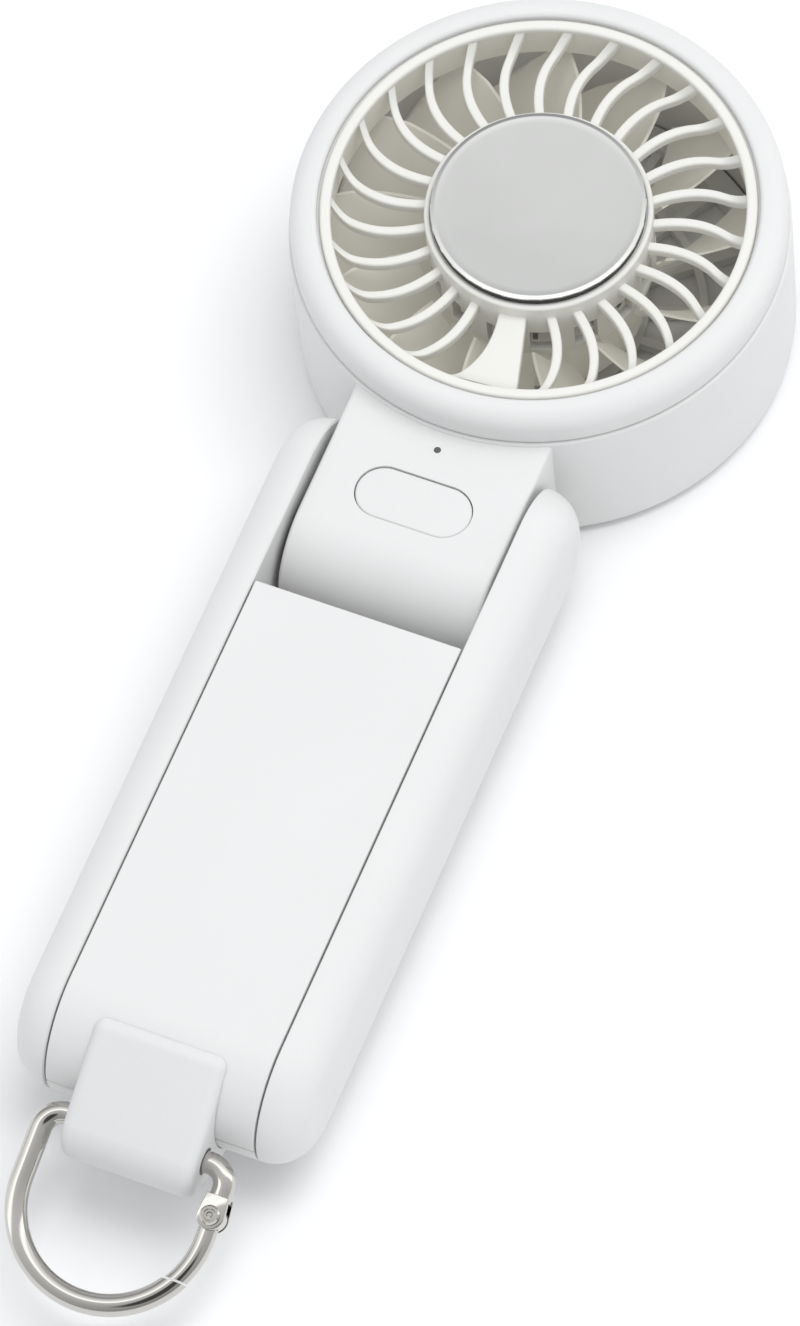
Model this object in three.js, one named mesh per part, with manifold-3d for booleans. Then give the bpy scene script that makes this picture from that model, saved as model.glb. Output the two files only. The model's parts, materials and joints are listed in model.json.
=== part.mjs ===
// A folding handheld turbo fan with a cooling plate, built as a scene graph of separate pieces.
// Millimetres, +Z out of the front of the fan, +Y along the handle towards the head.
// The fan lies on its back, with the back of the head at z = 0.
import * as THREE from "three";
import { mergeVertices } from "three/addons/utils/BufferGeometryUtils.js";
import Module from "manifold-3d";

const wasm = await Module();
wasm.setup();

// ---- Driving dimensions ----
const GAP = 0.3; // clearance between neighbouring pieces

const HEAD_R = 38; // outer radius of the head
const SHELL_WALL = 2;
const SHELL_TOP = 27.6; // where the bezel meets the shell
const BEZEL_R = 37.6;
const FRONT_Z = 33.8; // highest point of the bezel
const GRILLE_R = 31.3; // radius of the open part of the grille
const SPOKE_TOP = 29.7; // the spokes lie below the rim and below the hub
const SPOKE_RISE = 3.3; // and climb this far to the rim at their outer ends
const HUB_R = 17.3;
const HUB_TOP = 32.2;
const PLATE_R = 16.5;

const SPOKE_PITCHES = 27; // the bridge takes the place of two of the 27 spokes
const BRIDGE_ANGLE = 6.5; // degrees from the handle's axis towards +X
const BRIDGE_SIDE = 9; // degrees from there to its straight side
const SPOKE_SWEEP = 9.1; // degrees that a spoke swings ahead of its place on the rim
const BLADES = 13;

const HINGE_Y = -57; // hinge axis, below the middle of the head
const HINGE_Z = 17;
const NECK_HALF = 15.8;
const BARREL_R = 10.1;
const BUTTON_Y = -50.4;
const LED_Y = -41;

const HANDLE_HALF = 23.1; // half the width of the handle
const PANEL_HALF = 16.45; // half the width of the front panel
const HANDLE_BACK = 5;
const HANDLE_FRONT = 29;
const HANDLE_TOP = -37.7;
const HANDLE_BOTTOM = -153.2;
const PANEL_TOP = -71.6;
const SKIN = 1.6; // wall of the front panel

const BAR_Y = -157; // carabiner bar, through the strap loop
const WIRE_R = 1.7;
const RING_R = 14.4; // centre line of the carabiner's bend
const RING_STRAIGHT = 10.7; // from the bar to the middle of the bend
const RING_DROP = 16; // degrees by which the ring hangs below the fan's plane
const RIVET_DROP = 7.4; // from the bar to the gate's rivet
const NOTCH_DROP = 18.1; // from the bar to the joint at the gate's tip

// ---- Worked out from them ----
const END_R = (HANDLE_FRONT - HANDLE_BACK) / 2;
const HANDLE_MID = (HANDLE_FRONT + HANDLE_BACK) / 2;
const NECK_FRONT = HINGE_Z + BARREL_R;
const NECK_BACK = HINGE_Z - BARREL_R;
const CHEEK_INNER = PANEL_HALF + GAP;
const PITCH = 360 / SPOKE_PITCHES;
const rad = THREE.MathUtils.degToRad;

// ---- Materials ----
const paint = (color, roughness = 0.5, metalness = 0) =>
  new THREE.MeshStandardMaterial({ color, roughness, metalness });
const WHITE = paint(0xf1f1ef, 0.5);
const CREAM = paint(0xecebe2, 0.45);
const RUBBER = paint(0xf0f0ef, 0.6);
const GREY = paint(0xb9b6aa, 0.5);
const DARK = paint(0x2b2b2d, 0.5);
const BOARD = paint(0x1f5b3a, 0.5);
const CERAMIC = paint(0xe6e6e2, 0.4);
const PLATE = paint(0xc9cccb, 0.22, 1);
const ALUMINIUM = paint(0xb4b6b8, 0.4, 1);
const STEEL = paint(0x9b9da0, 0.35, 1);
const NICKEL = paint(0xc6c4be, 0.12, 1);
const COPPER = paint(0xb06a3a, 0.4, 1);
const CELL = paint(0x3f8fb4, 0.45);

// ---- Solids ----
function solid(geometry) {
  const bare = new THREE.BufferGeometry().setAttribute("position", geometry.getAttribute("position"));
  bare.setIndex(geometry.index);
  const merged = mergeVertices(bare, 1e-4);
  const corners = merged.index.array;
  const kept = [];
  for (let i = 0; i < corners.length; i += 3) {
    const [a, b, c] = corners.slice(i, i + 3);
    if (a !== b && b !== c && c !== a) kept.push(a, b, c);
  }
  return new wasm.Manifold(
    new wasm.Mesh({
      numProp: 3,
      vertProperties: merged.attributes.position.array,
      triVerts: new Uint32Array(kept),
    }),
  );
}

function geometryOf(body) {
  const mesh = body.getMesh();
  return new THREE.BufferGeometry()
    .setAttribute("position", new THREE.BufferAttribute(mesh.vertProperties, 3))
    .setIndex(new THREE.BufferAttribute(mesh.triVerts, 1))
    .toNonIndexed();
}

function piece(group, name, body, material) {
  const geometry = geometryOf(body);
  geometry.computeVertexNormals();
  const mesh = new THREE.Mesh(geometry, material);
  mesh.name = name;
  group.add(mesh);
}

function block(x0, x1, y0, y1, z0, z1) {
  const box = new THREE.BoxGeometry(x1 - x0, y1 - y0, z1 - z0);
  return solid(box.translate((x0 + x1) / 2, (y0 + y1) / 2, (z0 + z1) / 2));
}

function rodZ(x, y, radius, z0, z1, sides = 20) {
  const rod = new THREE.CylinderGeometry(radius, radius, z1 - z0, sides);
  return solid(rod.rotateX(Math.PI / 2).translate(x, y, (z0 + z1) / 2));
}

function rodX(y, z, radius, x0, x1, sides = 20) {
  const rod = new THREE.CylinderGeometry(radius, radius, x1 - x0, sides);
  return solid(rod.rotateZ(Math.PI / 2).translate((x0 + x1) / 2, y, z));
}

// A body turned about Z. The profile is a closed loop of [radius, z].
function turned(profile, segments = 48) {
  const points = profile.map(([r, z]) => new THREE.Vector2(r, z));
  if (THREE.ShapeUtils.area(points) < 0) points.reverse();
  points.push(points[0].clone());
  return solid(new THREE.LatheGeometry(points, segments).rotateX(Math.PI / 2));
}

const ring = (inner, outer, z0, z1, segments) =>
  turned([[inner, z0], [outer, z0], [outer, z1], [inner, z1]], segments);

// A bar through four-cornered stations: low-left, low-right, high-left and high-right of each.
// Both of its sides fold along the same diagonals, so that a thin twisted one never meets itself.
function strand(positions, stations) {
  const index = [0, 1, 3, 0, 3, 2];
  const loop = [0, 2, 3, 1];
  for (let s = 0; s + 1 < stations; s += 1) {
    loop.forEach((corner, i) => {
      const a = 4 * s + corner;
      const b = 4 * s + loop[(i + 1) % 4];
      if (i < 2) index.push(a, b, b + 4, a, b + 4, a + 4);
      else index.push(a, b, a + 4, b, b + 4, a + 4);
    });
  }
  const end = 4 * (stations - 1);
  index.push(end, end + 3, end + 1, end, end + 2, end + 3);
  const geometry = new THREE.BufferGeometry()
    .setAttribute("position", new THREE.BufferAttribute(new Float32Array(positions), 3))
    .setIndex(index);
  return solid(geometry);
}

// A shape drawn in X and Y, raised from z0 to z1.
function raised(shape, z0, z1, curveSegments = 6) {
  const geometry = new THREE.ExtrudeGeometry(shape, {
    depth: z1 - z0,
    bevelEnabled: false,
    curveSegments,
  });
  return solid(geometry.translate(0, 0, z0));
}

// A shape drawn in Y and Z, extruded along X from x0 to x1, with its edges rounded.
const SQUARE = { deep: 0, wide: 0, segments: 0 };

function acrossX(shape, x0, x1, round = SQUARE, curveSegments = 8) {
  const geometry = new THREE.ExtrudeGeometry(shape, {
    depth: x1 - x0 - 2 * round.deep,
    bevelEnabled: round.segments > 0,
    bevelThickness: round.deep,
    bevelSize: round.wide,
    bevelOffset: -round.wide,
    bevelSegments: round.segments,
    curveSegments,
  });
  geometry.translate(0, 0, x0 + round.deep);
  const turn = new THREE.Matrix4().makeBasis(
    new THREE.Vector3(0, 1, 0),
    new THREE.Vector3(0, 0, 1),
    new THREE.Vector3(1, 0, 0),
  );
  return solid(geometry.applyMatrix4(turn));
}

function oval(x, y, width, height) {
  const shape = new THREE.Shape();
  const r = height / 2;
  const reach = width / 2 - r;
  shape.absarc(x + reach, y, r, -Math.PI / 2, Math.PI / 2);
  shape.absarc(x - reach, y, r, Math.PI / 2, (3 * Math.PI) / 2);
  return shape;
}

const joined = (...bodies) => wasm.Manifold.union(bodies);
const turnedBy = (body, degrees) => body.rotate([0, 0, degrees]);
const around = (count, make) => Array.from({ length: count }, (_, i) => make((360 / count) * i, i));

// ---- The head's shell, with its neck and hinge barrel ----
function headShell() {
  const lip = HEAD_R - 4;
  const inner = HEAD_R - SHELL_WALL;
  const skin = turned([
    [lip, 0],
    [HEAD_R - 2.2, 0],
    [HEAD_R - 0.7, 0.7],
    [HEAD_R, 2.4],
    [HEAD_R, SHELL_TOP],
    [inner, SHELL_TOP],
    [inner, 2.2],
    [lip, 2.2],
  ]);
  const neck = block(-NECK_HALF, NECK_HALF, HINGE_Y, -inner + 3, NECK_BACK, NECK_FRONT);
  const barrel = rodX(HINGE_Y, HINGE_Z, BARREL_R, -NECK_HALF, NECK_HALF, 32);
  const outside = joined(neck, barrel).subtract(rodZ(0, 0, inner + 0.5, 0, FRONT_Z, 48));
  const pocket = joined(
    block(-12.5, 12.5, -56.2, -HEAD_R - 0.5, 20.9, NECK_FRONT - 1.8),
    block(-12.5, 12.5, -53, -HEAD_R - 0.5, NECK_BACK - 1, 21),
  );
  const buttonHole = raised(oval(0, BUTTON_Y, 18.2 + 2 * GAP, 8.6 + 2 * GAP), 20, 30);
  const ledHole = rodZ(0, LED_Y, 0.8, 20, 30, 12);
  const hingeBores = [-1, 1].flatMap((side) => [
    rodX(HINGE_Y, HINGE_Z, 3.3, Math.min(side * 8.3, side * 17), Math.max(side * 8.3, side * 17)),
    rodX(HINGE_Y, HINGE_Z, 7.3, Math.min(side * 14.6, side * 17), Math.max(side * 14.6, side * 17), 28),
  ]);
  return joined(skin, outside).subtract(joined(pocket, buttonHole, ledHole, ...hingeBores));
}

// ---- The bezel round the front, with a spigot that drops into the shell ----
function frontBezel() {
  const round = 2.9;
  const rim = Array.from({ length: 4 }, (_, i) => {
    const a = rad(30 * i);
    return [BEZEL_R - round + round * Math.cos(a), FRONT_Z - round + round * Math.sin(a)];
  });
  const inner = GRILLE_R + 2.1;
  return turned([
    [inner, 24.5],
    [inner + 2.2, 24.5],
    [inner + 2.2, SHELL_TOP + GAP],
    [BEZEL_R, SHELL_TOP + GAP],
    ...rim,
    [inner + 0.5, FRONT_Z],
    [inner, FRONT_Z - 0.6],
  ]);
}

// ---- The front grille: rim, hub wall, curved spokes and one wide bridge, moulded in one ----
// In plan a spoke is a bow. It runs level from the hub, and climbs to the rim at its outer end.
const SPOKE_RADII = [16.8, 19, 22, 25, 27.6, 29.4, 30.8, 31.8];
const SWING_R = 20.9; // radius where a spoke has swung furthest
const CLIMB_R = 28.3; // radius where it starts to climb
const swing = (r) => SPOKE_SWEEP * (1 - ((r - SWING_R) / (GRILLE_R + 0.5 - SWING_R)) ** 2);
const climb = (r) => SPOKE_RISE * Math.max(0, (r - CLIMB_R) / (GRILLE_R + 0.5 - CLIMB_R)) ** 2;

// A bar along the spokes' path, from one side angle to the other, both in degrees at a radius.
function spokeBar(fromAngle, toAngle, depth) {
  const positions = [];
  for (const r of SPOKE_RADII) {
    const top = SPOKE_TOP + climb(r);
    for (const z of [top - depth, top]) {
      for (const angle of [toAngle(r), fromAngle(r)]) {
        const a = rad(angle - 90);
        positions.push(r * Math.cos(a), r * Math.sin(a), z);
      }
    }
  }
  return strand(positions, SPOKE_RADII.length);
}

function frontGrille() {
  const rim = turned([
    [GRILLE_R, 25.9],
    [GRILLE_R + 1.7, 25.9],
    [GRILLE_R + 1.7, 32.7],
    [GRILLE_R + 1.3, 33.2],
    [GRILLE_R + 0.4, 33.2],
    [GRILLE_R, 32.8],
  ]);
  const hub = turned([
    [HUB_R - 1.4, 19],
    [HUB_R, 19],
    [HUB_R, HUB_TOP - 0.3],
    [HUB_R - 0.3, HUB_TOP],
    [HUB_R - 1.4, HUB_TOP],
    [HUB_R - 1.4, 28.8],
    [HUB_R - 2.9, 28.8],
    [HUB_R - 2.9, 27.6],
    [HUB_R - 1.4, 27.6],
  ], 40);
  const windows = around(16, (angle) =>
    turnedBy(block(-1.9, 1.9, HUB_R - 2.2, HUB_R + 1, 20.2, 25.4), angle),
  );
  const spokes = [];
  for (let i = 1; i <= SPOKE_PITCHES - 2; i += 1) {
    const half = (r) => THREE.MathUtils.radToDeg(0.75 / r);
    const spoke = spokeBar((r) => swing(r) - half(r), (r) => swing(r) + half(r), 1.5);
    spokes.push(turnedBy(spoke, BRIDGE_ANGLE + PITCH * i));
  }
  // The bridge follows the last spoke's path on one side, and is straight on the other.
  const bridge = spokeBar((r) => swing(r) - PITCH, () => BRIDGE_SIDE, 1.9);
  return joined(rim, hub, ...spokes, turnedBy(bridge, BRIDGE_ANGLE)).subtract(joined(...windows));
}

// ---- Cooling plate, thermoelectric module and heat sink ----
function coolingPlate() {
  const under = PLATE_R - 1;
  return turned([
    [0, 30.4],
    [under, 30.4],
    [under, HUB_TOP + GAP],
    [PLATE_R, HUB_TOP + GAP],
    [PLATE_R, 33.0],
    [PLATE_R - 0.8, 33.6],
    [0, 33.6],
  ], 40);
}

function heatSink() {
  const fins = around(20, (angle) => turnedBy(block(-0.4, 0.4, 5, 15.2, 19.6, 26), angle));
  return joined(rodZ(0, 0, 15.4, 25.6, 27.2, 40), rodZ(0, 0, 5.6, 19.6, 26, 16), ...fins);
}

// ---- The motor, on the rear grille ----
const MOTOR_SCREWS = around(3, (angle) => ({
  x: 7.4 * Math.cos(rad(angle + 30)),
  y: 7.4 * Math.sin(rad(angle + 30)),
}));

const arcPoints = (radius, from, to, steps) =>
  Array.from({ length: steps + 1 }, (_, i) => {
    const a = rad(from + ((to - from) * i) / steps);
    return new THREE.Vector2(radius * Math.cos(a), radius * Math.sin(a));
  });

const slotPath = (inner, outer, from, to) =>
  new THREE.Path([...arcPoints(outer, from, to, 2), ...arcPoints(inner, to, from, 2)]);

function rearGrille() {
  const disc = new THREE.Shape(arcPoints(HEAD_R - 4.6, 0, 352.5, 47));
  for (const [inner, outer] of [[15.5, 23.3], [24.5, 32.2]]) {
    around(18, (angle) => {
      const margin = (0.7 / inner) * (180 / Math.PI);
      disc.holes.push(slotPath(inner, outer, angle + margin, angle + 20 - margin));
    });
  }
  const face = new THREE.ExtrudeGeometry(disc, { depth: 2.1, bevelEnabled: false });
  const rim = ring(32.6, HEAD_R - 4.3, 0.4, 2.5, 48);
  const flange = ring(32.6, HEAD_R - 2.4, 2.5, 3.7, 48);
  const seat = ring(3.3, 4.3, 2.3, 13.2, 24);
  const screwHoles = MOTOR_SCREWS.flatMap(({ x, y }) => [
    rodZ(x, y, 1, 0, 3, 12),
    rodZ(x, y, 1.9, 0, 1.7, 16),
  ]);
  const plate = solid(face.translate(0, 0, 0.4));
  return joined(plate, rim, flange, seat).subtract(joined(...screwHoles));
}

function motorBoard() {
  const holes = MOTOR_SCREWS.map(({ x, y }) => rodZ(x, y, 1, 2, 5, 12));
  return ring(4.6, 9.3, 2.8, 4, 24).subtract(joined(...holes));
}

function motorStator() {
  const arms = around(9, (angle) => turnedBy(block(-1, 1, 5, 8.4, 5, 10.6), angle));
  const shoes = around(9, (angle) => turnedBy(block(-2.4, 2.4, 7.6, 8.8, 4.6, 11), angle));
  return joined(ring(4.6, 5.8, 4.6, 11, 24), ...arms, ...shoes);
}

const bearing = (z0) => ring(1.5, 3, z0, z0 + 2.4, 16);

function motorScrew({ x, y }) {
  return joined(rodZ(x, y, 1.6, 0.7, 1.4, 14), rodZ(x, y, 0.7, 1.3, 4.2, 10));
}

// ---- The group that spins ----
// A blade is a thin twisted sheet. Each station holds its radius, and its lowest and highest z.
const BLADE_STATIONS = [
  [14.6, 6.6, 16.6],
  [17.7, 6.8, 18],
  [18.2, 6.8, 22.4],
  [24, 7.2, 23.8],
  [29.5, 7.6, 24],
  [34.5, 8, 24],
];
const BLADE_TURN = 1.7; // degrees of twist for each millimetre of height
const BLADE_LEAN = 0.9; // degrees of lean for each millimetre of radius

function blade() {
  const half = 0.45;
  const positions = [];
  for (const [r, low, high] of BLADE_STATIONS) {
    for (const z of [low, high]) {
      for (const side of [1, -1]) {
        const a = rad((z - 16) * -BLADE_TURN + (r - 25) * BLADE_LEAN) + (side * half) / r;
        positions.push(r * Math.cos(a), r * Math.sin(a), z);
      }
    }
  }
  return strand(positions, BLADE_STATIONS.length);
}

function impeller() {
  const hub = turned([
    [1.5, 15.6],
    [12.6, 15.6],
    [12.6, 5],
    [15, 5],
    [15, 16],
    [13.6, 17.4],
    [1.5, 17.4],
  ], 3 * BLADES);
  return joined(hub, ...around(BLADES, (angle) => turnedBy(blade(), angle)));
}

function rotorCup() {
  return turned([
    [1.5, 13.9],
    [11.2, 13.9],
    [11.2, 4.3],
    [12.3, 4.3],
    [12.3, 15.2],
    [1.5, 15.2],
  ], 28);
}

// ---- Small pieces in the neck ----
function buttonSwitch() {
  return joined(block(-2.25, 2.25, BUTTON_Y - 2.25, BUTTON_Y + 2.25, 18.9, 21.6),
    rodZ(0, BUTTON_Y, 1.5, 21.5, 22.7, 16));
}

function powerButton() {
  return joined(
    raised(oval(0, BUTTON_Y, 18.2, 8.6), 24, NECK_FRONT - 0.15, 7),
    raised(oval(0, BUTTON_Y, 20.4, 10.8), 23.6, 24.9, 7),
  );
}

function lightPipe() {
  return joined(rodZ(0, LED_Y, 0.5, 20, NECK_FRONT - 0.1, 12), rodZ(0, LED_Y, 1.4, 20, 24.6, 12));
}

// ---- Handle ----
// The side view of the handle: two straight sides and two round ends, drawn in Y and Z.
function handleSide(inset = 0) {
  const shape = new THREE.Shape();
  const r = END_R - inset;
  shape.absarc(HANDLE_TOP - END_R, HANDLE_MID, r, -Math.PI / 2, Math.PI / 2);
  shape.absarc(HANDLE_BOTTOM + END_R, HANDLE_MID, r, Math.PI / 2, (3 * Math.PI) / 2);
  return shape;
}

const handleBand = (inset, halfWidth = PANEL_HALF) =>
  acrossX(handleSide(inset), -halfWidth, halfWidth);

function rightCheek() {
  const round = { deep: 6.2, wide: 6.2, segments: 5 };
  const whole = acrossX(handleSide(), -HANDLE_HALF, HANDLE_HALF, round);
  const hollow = acrossX(handleSide(3.6), 0, HANDLE_HALF - 2.4);
  const hollowZone = block(0, HANDLE_HALF, HANDLE_BOTTOM, PANEL_TOP, 0, HANDLE_FRONT);
  const bore = rodX(HINGE_Y, HINGE_Z, 3.3, 15, 21.3);
  return whole
    .trimByPlane([1, 0, 0], CHEEK_INNER)
    .subtract(hollow.intersect(hollowZone))
    .subtract(bore);
}

function leftCheek() {
  return rightCheek().mirror([1, 0, 0]);
}

// The opening in the bottom end that lets the strap loop's tab in.
const tabSlot = () => block(-7.3, 7.3, HANDLE_BOTTOM - 1, HANDLE_BOTTOM + 4, HANDLE_MID - 2.3, HANDLE_MID + 2.3);

function frontPanel() {
  return handleBand(0)
    .subtract(handleBand(SKIN, PANEL_HALF + 1))
    .trimByPlane([0, -1, 0], -PANEL_TOP)
    .trimByPlane([0, 0, 1], HANDLE_MID + GAP / 2)
    .subtract(tabSlot());
}

const BACK_SCREWS = [[-12, -135], [12, -135], [-12, -92], [12, -92]];

function handleCore() {
  const back = handleBand(0).trimByPlane([0, 0, -1], -(HANDLE_MID - GAP / 2));
  const walls = handleBand(SKIN + GAP).trimByPlane([0, -1, 0], -(PANEL_TOP - 0.2));
  const hollow = handleBand(SKIN + 0.6, PANEL_HALF - 1.6)
    .trimByPlane([0, -1, 0], -(PANEL_TOP - 1.6));
  const front = block(-15, 15, HANDLE_BOTTOM + 9, PANEL_TOP - 1.6, 20, 40);
  const underBarrel = block(-20, 20, PANEL_TOP - 0.2, 0, 6.6, 40);
  const beyond = block(-20, 20, -50, 0, 0, 40);
  const usb = raised(oval(0, -75.3, 9.6, 4), 0, 9);
  const screwHoles = BACK_SCREWS.flatMap(([x, y]) => [
    rodZ(x, y, 1.2, 0, 9, 12),
    rodZ(x, y, 2.3, 0, 6, 16),
  ]);
  return joined(back, walls).subtract(
    joined(hollow, front, underBarrel, beyond, usb, tabSlot(), ...screwHoles),
  );
}

function backScrew([x, y]) {
  return joined(rodZ(x, y, 2, 5.1, 5.7, 14), rodZ(x, y, 0.9, 5.6, 11, 10));
}

const CELL_Z = 17.2;
const CELL_R = 9.1;

function batteryCell() {
  const cell = new THREE.CylinderGeometry(CELL_R, CELL_R, 65, 28).translate(0, -111.6, CELL_Z);
  const cap = new THREE.CylinderGeometry(3.4, 3.4, 0.8, 16).translate(0, -78.9, CELL_Z);
  return joined(solid(cell), solid(cap));
}

function cradleRail(side) {
  const rail = block(4, 14.4, -138, -88, 7.6, 12.4);
  const trough = new THREE.CylinderGeometry(CELL_R + GAP, CELL_R + GAP, 60, 28);
  const holes = BACK_SCREWS.filter(([x]) => x > 0).map(([x, y]) => rodZ(x, y, 1.2, 7, 14, 12));
  const right = rail.subtract(joined(solid(trough.translate(0, -113, CELL_Z)), ...holes));
  return side > 0 ? right : right.mirror([1, 0, 0]);
}

function mainBoard() {
  const board = block(-13.4, 13.4, -78.2, -77.2, 7.6, 26.6);
  const chip = block(-9, -3, -77.3, -74.6, 17, 22);
  const coil = block(3, 9.5, -77.3, -73.9, 15.5, 22);
  return joined(board.subtract(solid(new THREE.CylinderGeometry(3.7, 3.7, 9, 16).translate(0, -78, CELL_Z))),
    chip, coil);
}

function usbSocket() {
  const shell = raised(oval(0, -75.3, 9, 3.3), 5.2, 12.4);
  const mouth = raised(oval(0, -75.3, 8.2, 2.5), 5, 10.8);
  const tongue = block(-3.3, 3.3, -75.6, -75, 6, 11.2);
  return joined(shell.subtract(mouth), tongue);
}

// ---- Strap loop: wraps the handle's bottom end and holds the carabiner's bar ----
const LOOP_HALF = 10.4;
const LOOP_NOSE = 6;
const LOOP_ROUND = 1.8; // rounding of the loop's side edges

function loopSide(inset) {
  const shape = new THREE.Shape();
  const back = HANDLE_BOTTOM + END_R - 5.6;
  shape.absarc(BAR_Y, HANDLE_MID, LOOP_NOSE - inset, rad(125), rad(235));
  shape.absarc(back, HANDLE_MID - 9.9, 2 - inset, rad(235), rad(345));
  shape.absarc(back, HANDLE_MID + 9.9, 2 - inset, rad(15), rad(125));
  return shape;
}

function strapLoop() {
  const slabs = [0, 30, 60, 90].map((angle) => {
    const halfWidth = LOOP_HALF - LOOP_ROUND * (1 - Math.cos(rad(angle)));
    return acrossX(loopSide(LOOP_ROUND * (1 - Math.sin(rad(angle)))), -halfWidth, halfWidth, SQUARE, 4);
  });
  const clear = acrossX(handleSide(-GAP), -20, 20);
  const tab = block(-7, 7, HANDLE_BOTTOM - 2, HANDLE_BOTTOM + 3.4, HANDLE_MID - 2, HANDLE_MID + 2);
  const bar = rodX(BAR_Y, HANDLE_MID, WIRE_R + 0.4, -20, 20, 20);
  return joined(wasm.Manifold.hull(slabs).subtract(clear), tab).subtract(bar);
}

// ---- Carabiner, drawn with its bar along X and its bend towards -Y ----
class Ring extends THREE.Curve {
  // Runs from the rivet up over the bar, down the far side and round the bend to the rivet again.
  constructor() {
    super();
    const corner = 3.2;
    const arc = (x, y, r, from, to) => new Arc(x, y, r, from, to);
    this.path = new THREE.CurvePath();
    const right = RING_R;
    const line = (a, b) => new THREE.LineCurve3(new THREE.Vector3(...a, 0), new THREE.Vector3(...b, 0));
    this.path.add(line([right, -RING_STRAIGHT], [right, -corner]));
    this.path.add(arc(right - corner, -corner, corner, 0, 90));
    this.path.add(line([right - corner, 0], [-right + corner, 0]));
    this.path.add(arc(-right + corner, -corner, corner, 90, 180));
    this.path.add(line([-right, -corner], [-right, -RING_STRAIGHT]));
    this.path.add(arc(0, -RING_STRAIGHT, RING_R, 180, 360));
  }
  getPoint(t) {
    return this.path.getPointAt(THREE.MathUtils.clamp(t, 0, 1));
  }
}

class Arc extends THREE.Curve {
  constructor(x, y, r, from, to) {
    super();
    Object.assign(this, { x, y, r, from, to });
  }
  getPoint(t) {
    const a = rad(this.from + (this.to - this.from) * t);
    return new THREE.Vector3(this.x + this.r * Math.cos(a), this.y + this.r * Math.sin(a), 0);
  }
}

// The stretch of a curve between two shares of its length.
class Stretch extends THREE.Curve {
  constructor(curve, from, to) {
    super();
    Object.assign(this, { curve, from, to });
  }
  getPoint(t) {
    return this.curve.getPointAt(this.from + (this.to - this.from) * t);
  }
}

function wire(curve, radius, steps) {
  const section = new THREE.Shape();
  section.absarc(0, 0, radius, 0, 2 * Math.PI);
  const geometry = new THREE.ExtrudeGeometry(section, { extrudePath: curve, steps, curveSegments: 4 });
  return solid(geometry);
}

function ringBody() {
  const path = new Ring();
  const length = path.getLength();
  const rivetSide = (RING_STRAIGHT - RIVET_DROP + 2.8) / length;
  const notchSide = 1 - (rad(22) * RING_R) / length;
  const bent = wire(new Stretch(path, rivetSide, notchSide), WIRE_R, 36);
  const notch = block(5, 30, -NOTCH_DROP + 0.2, -RING_STRAIGHT + 4, -5, 5);
  const fork = [-1, 1].map((side) => {
    const plate = joined(
      rodZ(RING_R, -RIVET_DROP, 2.1, 1.3, 2.1, 16),
      block(RING_R - 1.5, RING_R + 1.5, -RIVET_DROP, -RIVET_DROP + 3.4, 1.3, 2.1),
    );
    return side > 0 ? plate : plate.mirror([0, 0, 1]);
  });
  const neck = block(RING_R - 1.5, RING_R + 1.5, -RIVET_DROP + 2.6, -RIVET_DROP + 3.6, -2.1, 2.1);
  const hole = rodZ(RING_R, -RIVET_DROP, 1, -5, 5, 12);
  return joined(bent.subtract(notch), ...fork, neck).subtract(hole);
}

function ringGate() {
  const path = new Ring();
  const length = path.getLength();
  const tip = 1 - (rad(40) * RING_R) / length;
  const bend = wire(new Stretch(path, tip, 1), 1.5, 8).trimByPlane([0, 1, 0], -NOTCH_DROP + 0.6);
  const tongue = block(RING_R - 1.3, RING_R + 1.3, -RING_STRAIGHT - 0.6, -RIVET_DROP, -1, 1);
  const knuckle = rodZ(RING_R, -RIVET_DROP, 2, -1, 1, 16);
  const hole = rodZ(RING_R, -RIVET_DROP, 1, -5, 5, 12);
  return joined(bend, tongue, knuckle).subtract(hole);
}

function gateRivet() {
  return joined(
    rodZ(RING_R, -RIVET_DROP, 0.7, -2.9, 2.9, 12),
    rodZ(RING_R, -RIVET_DROP, 1.5, 2.4, 2.9, 16),
    rodZ(RING_R, -RIVET_DROP, 1.5, -2.9, -2.4, 16),
  );
}

// ---- Assembly ----
const fan = new THREE.Group();

function addHead() {
  const head = new THREE.Group();
  fan.add(head);
  piece(head, "head_shell", headShell(), WHITE);
  piece(head, "front_bezel", frontBezel(), WHITE);
  piece(head, "front_grille", frontGrille(), CREAM);
  piece(head, "cooling_plate", coolingPlate(), PLATE);
  piece(head, "thermoelectric_module", block(-10, 10, -10, 10, 27.5, 30.1), CERAMIC);
  piece(head, "heat_sink", heatSink(), ALUMINIUM);
  piece(head, "rear_grille", rearGrille(), WHITE);
  piece(head, "motor_board", motorBoard(), BOARD);
  piece(head, "motor_stator", motorStator(), COPPER);
  piece(head, "bearing_lower", bearing(3.2), STEEL);
  piece(head, "bearing_upper", bearing(10.4), STEEL);
  MOTOR_SCREWS.forEach((place, i) => piece(head, `motor_screw_${i + 1}`, motorScrew(place), STEEL));
  piece(head, "impeller", impeller(), GREY);
  piece(head, "rotor_cup", rotorCup(), STEEL);
  piece(head, "magnet_ring", ring(9.6, 10.9, 4.6, 11.6, 28), DARK);
  piece(head, "motor_shaft", rodZ(0, 0, 1.2, 2.8, 17.2, 16), STEEL);
}

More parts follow.
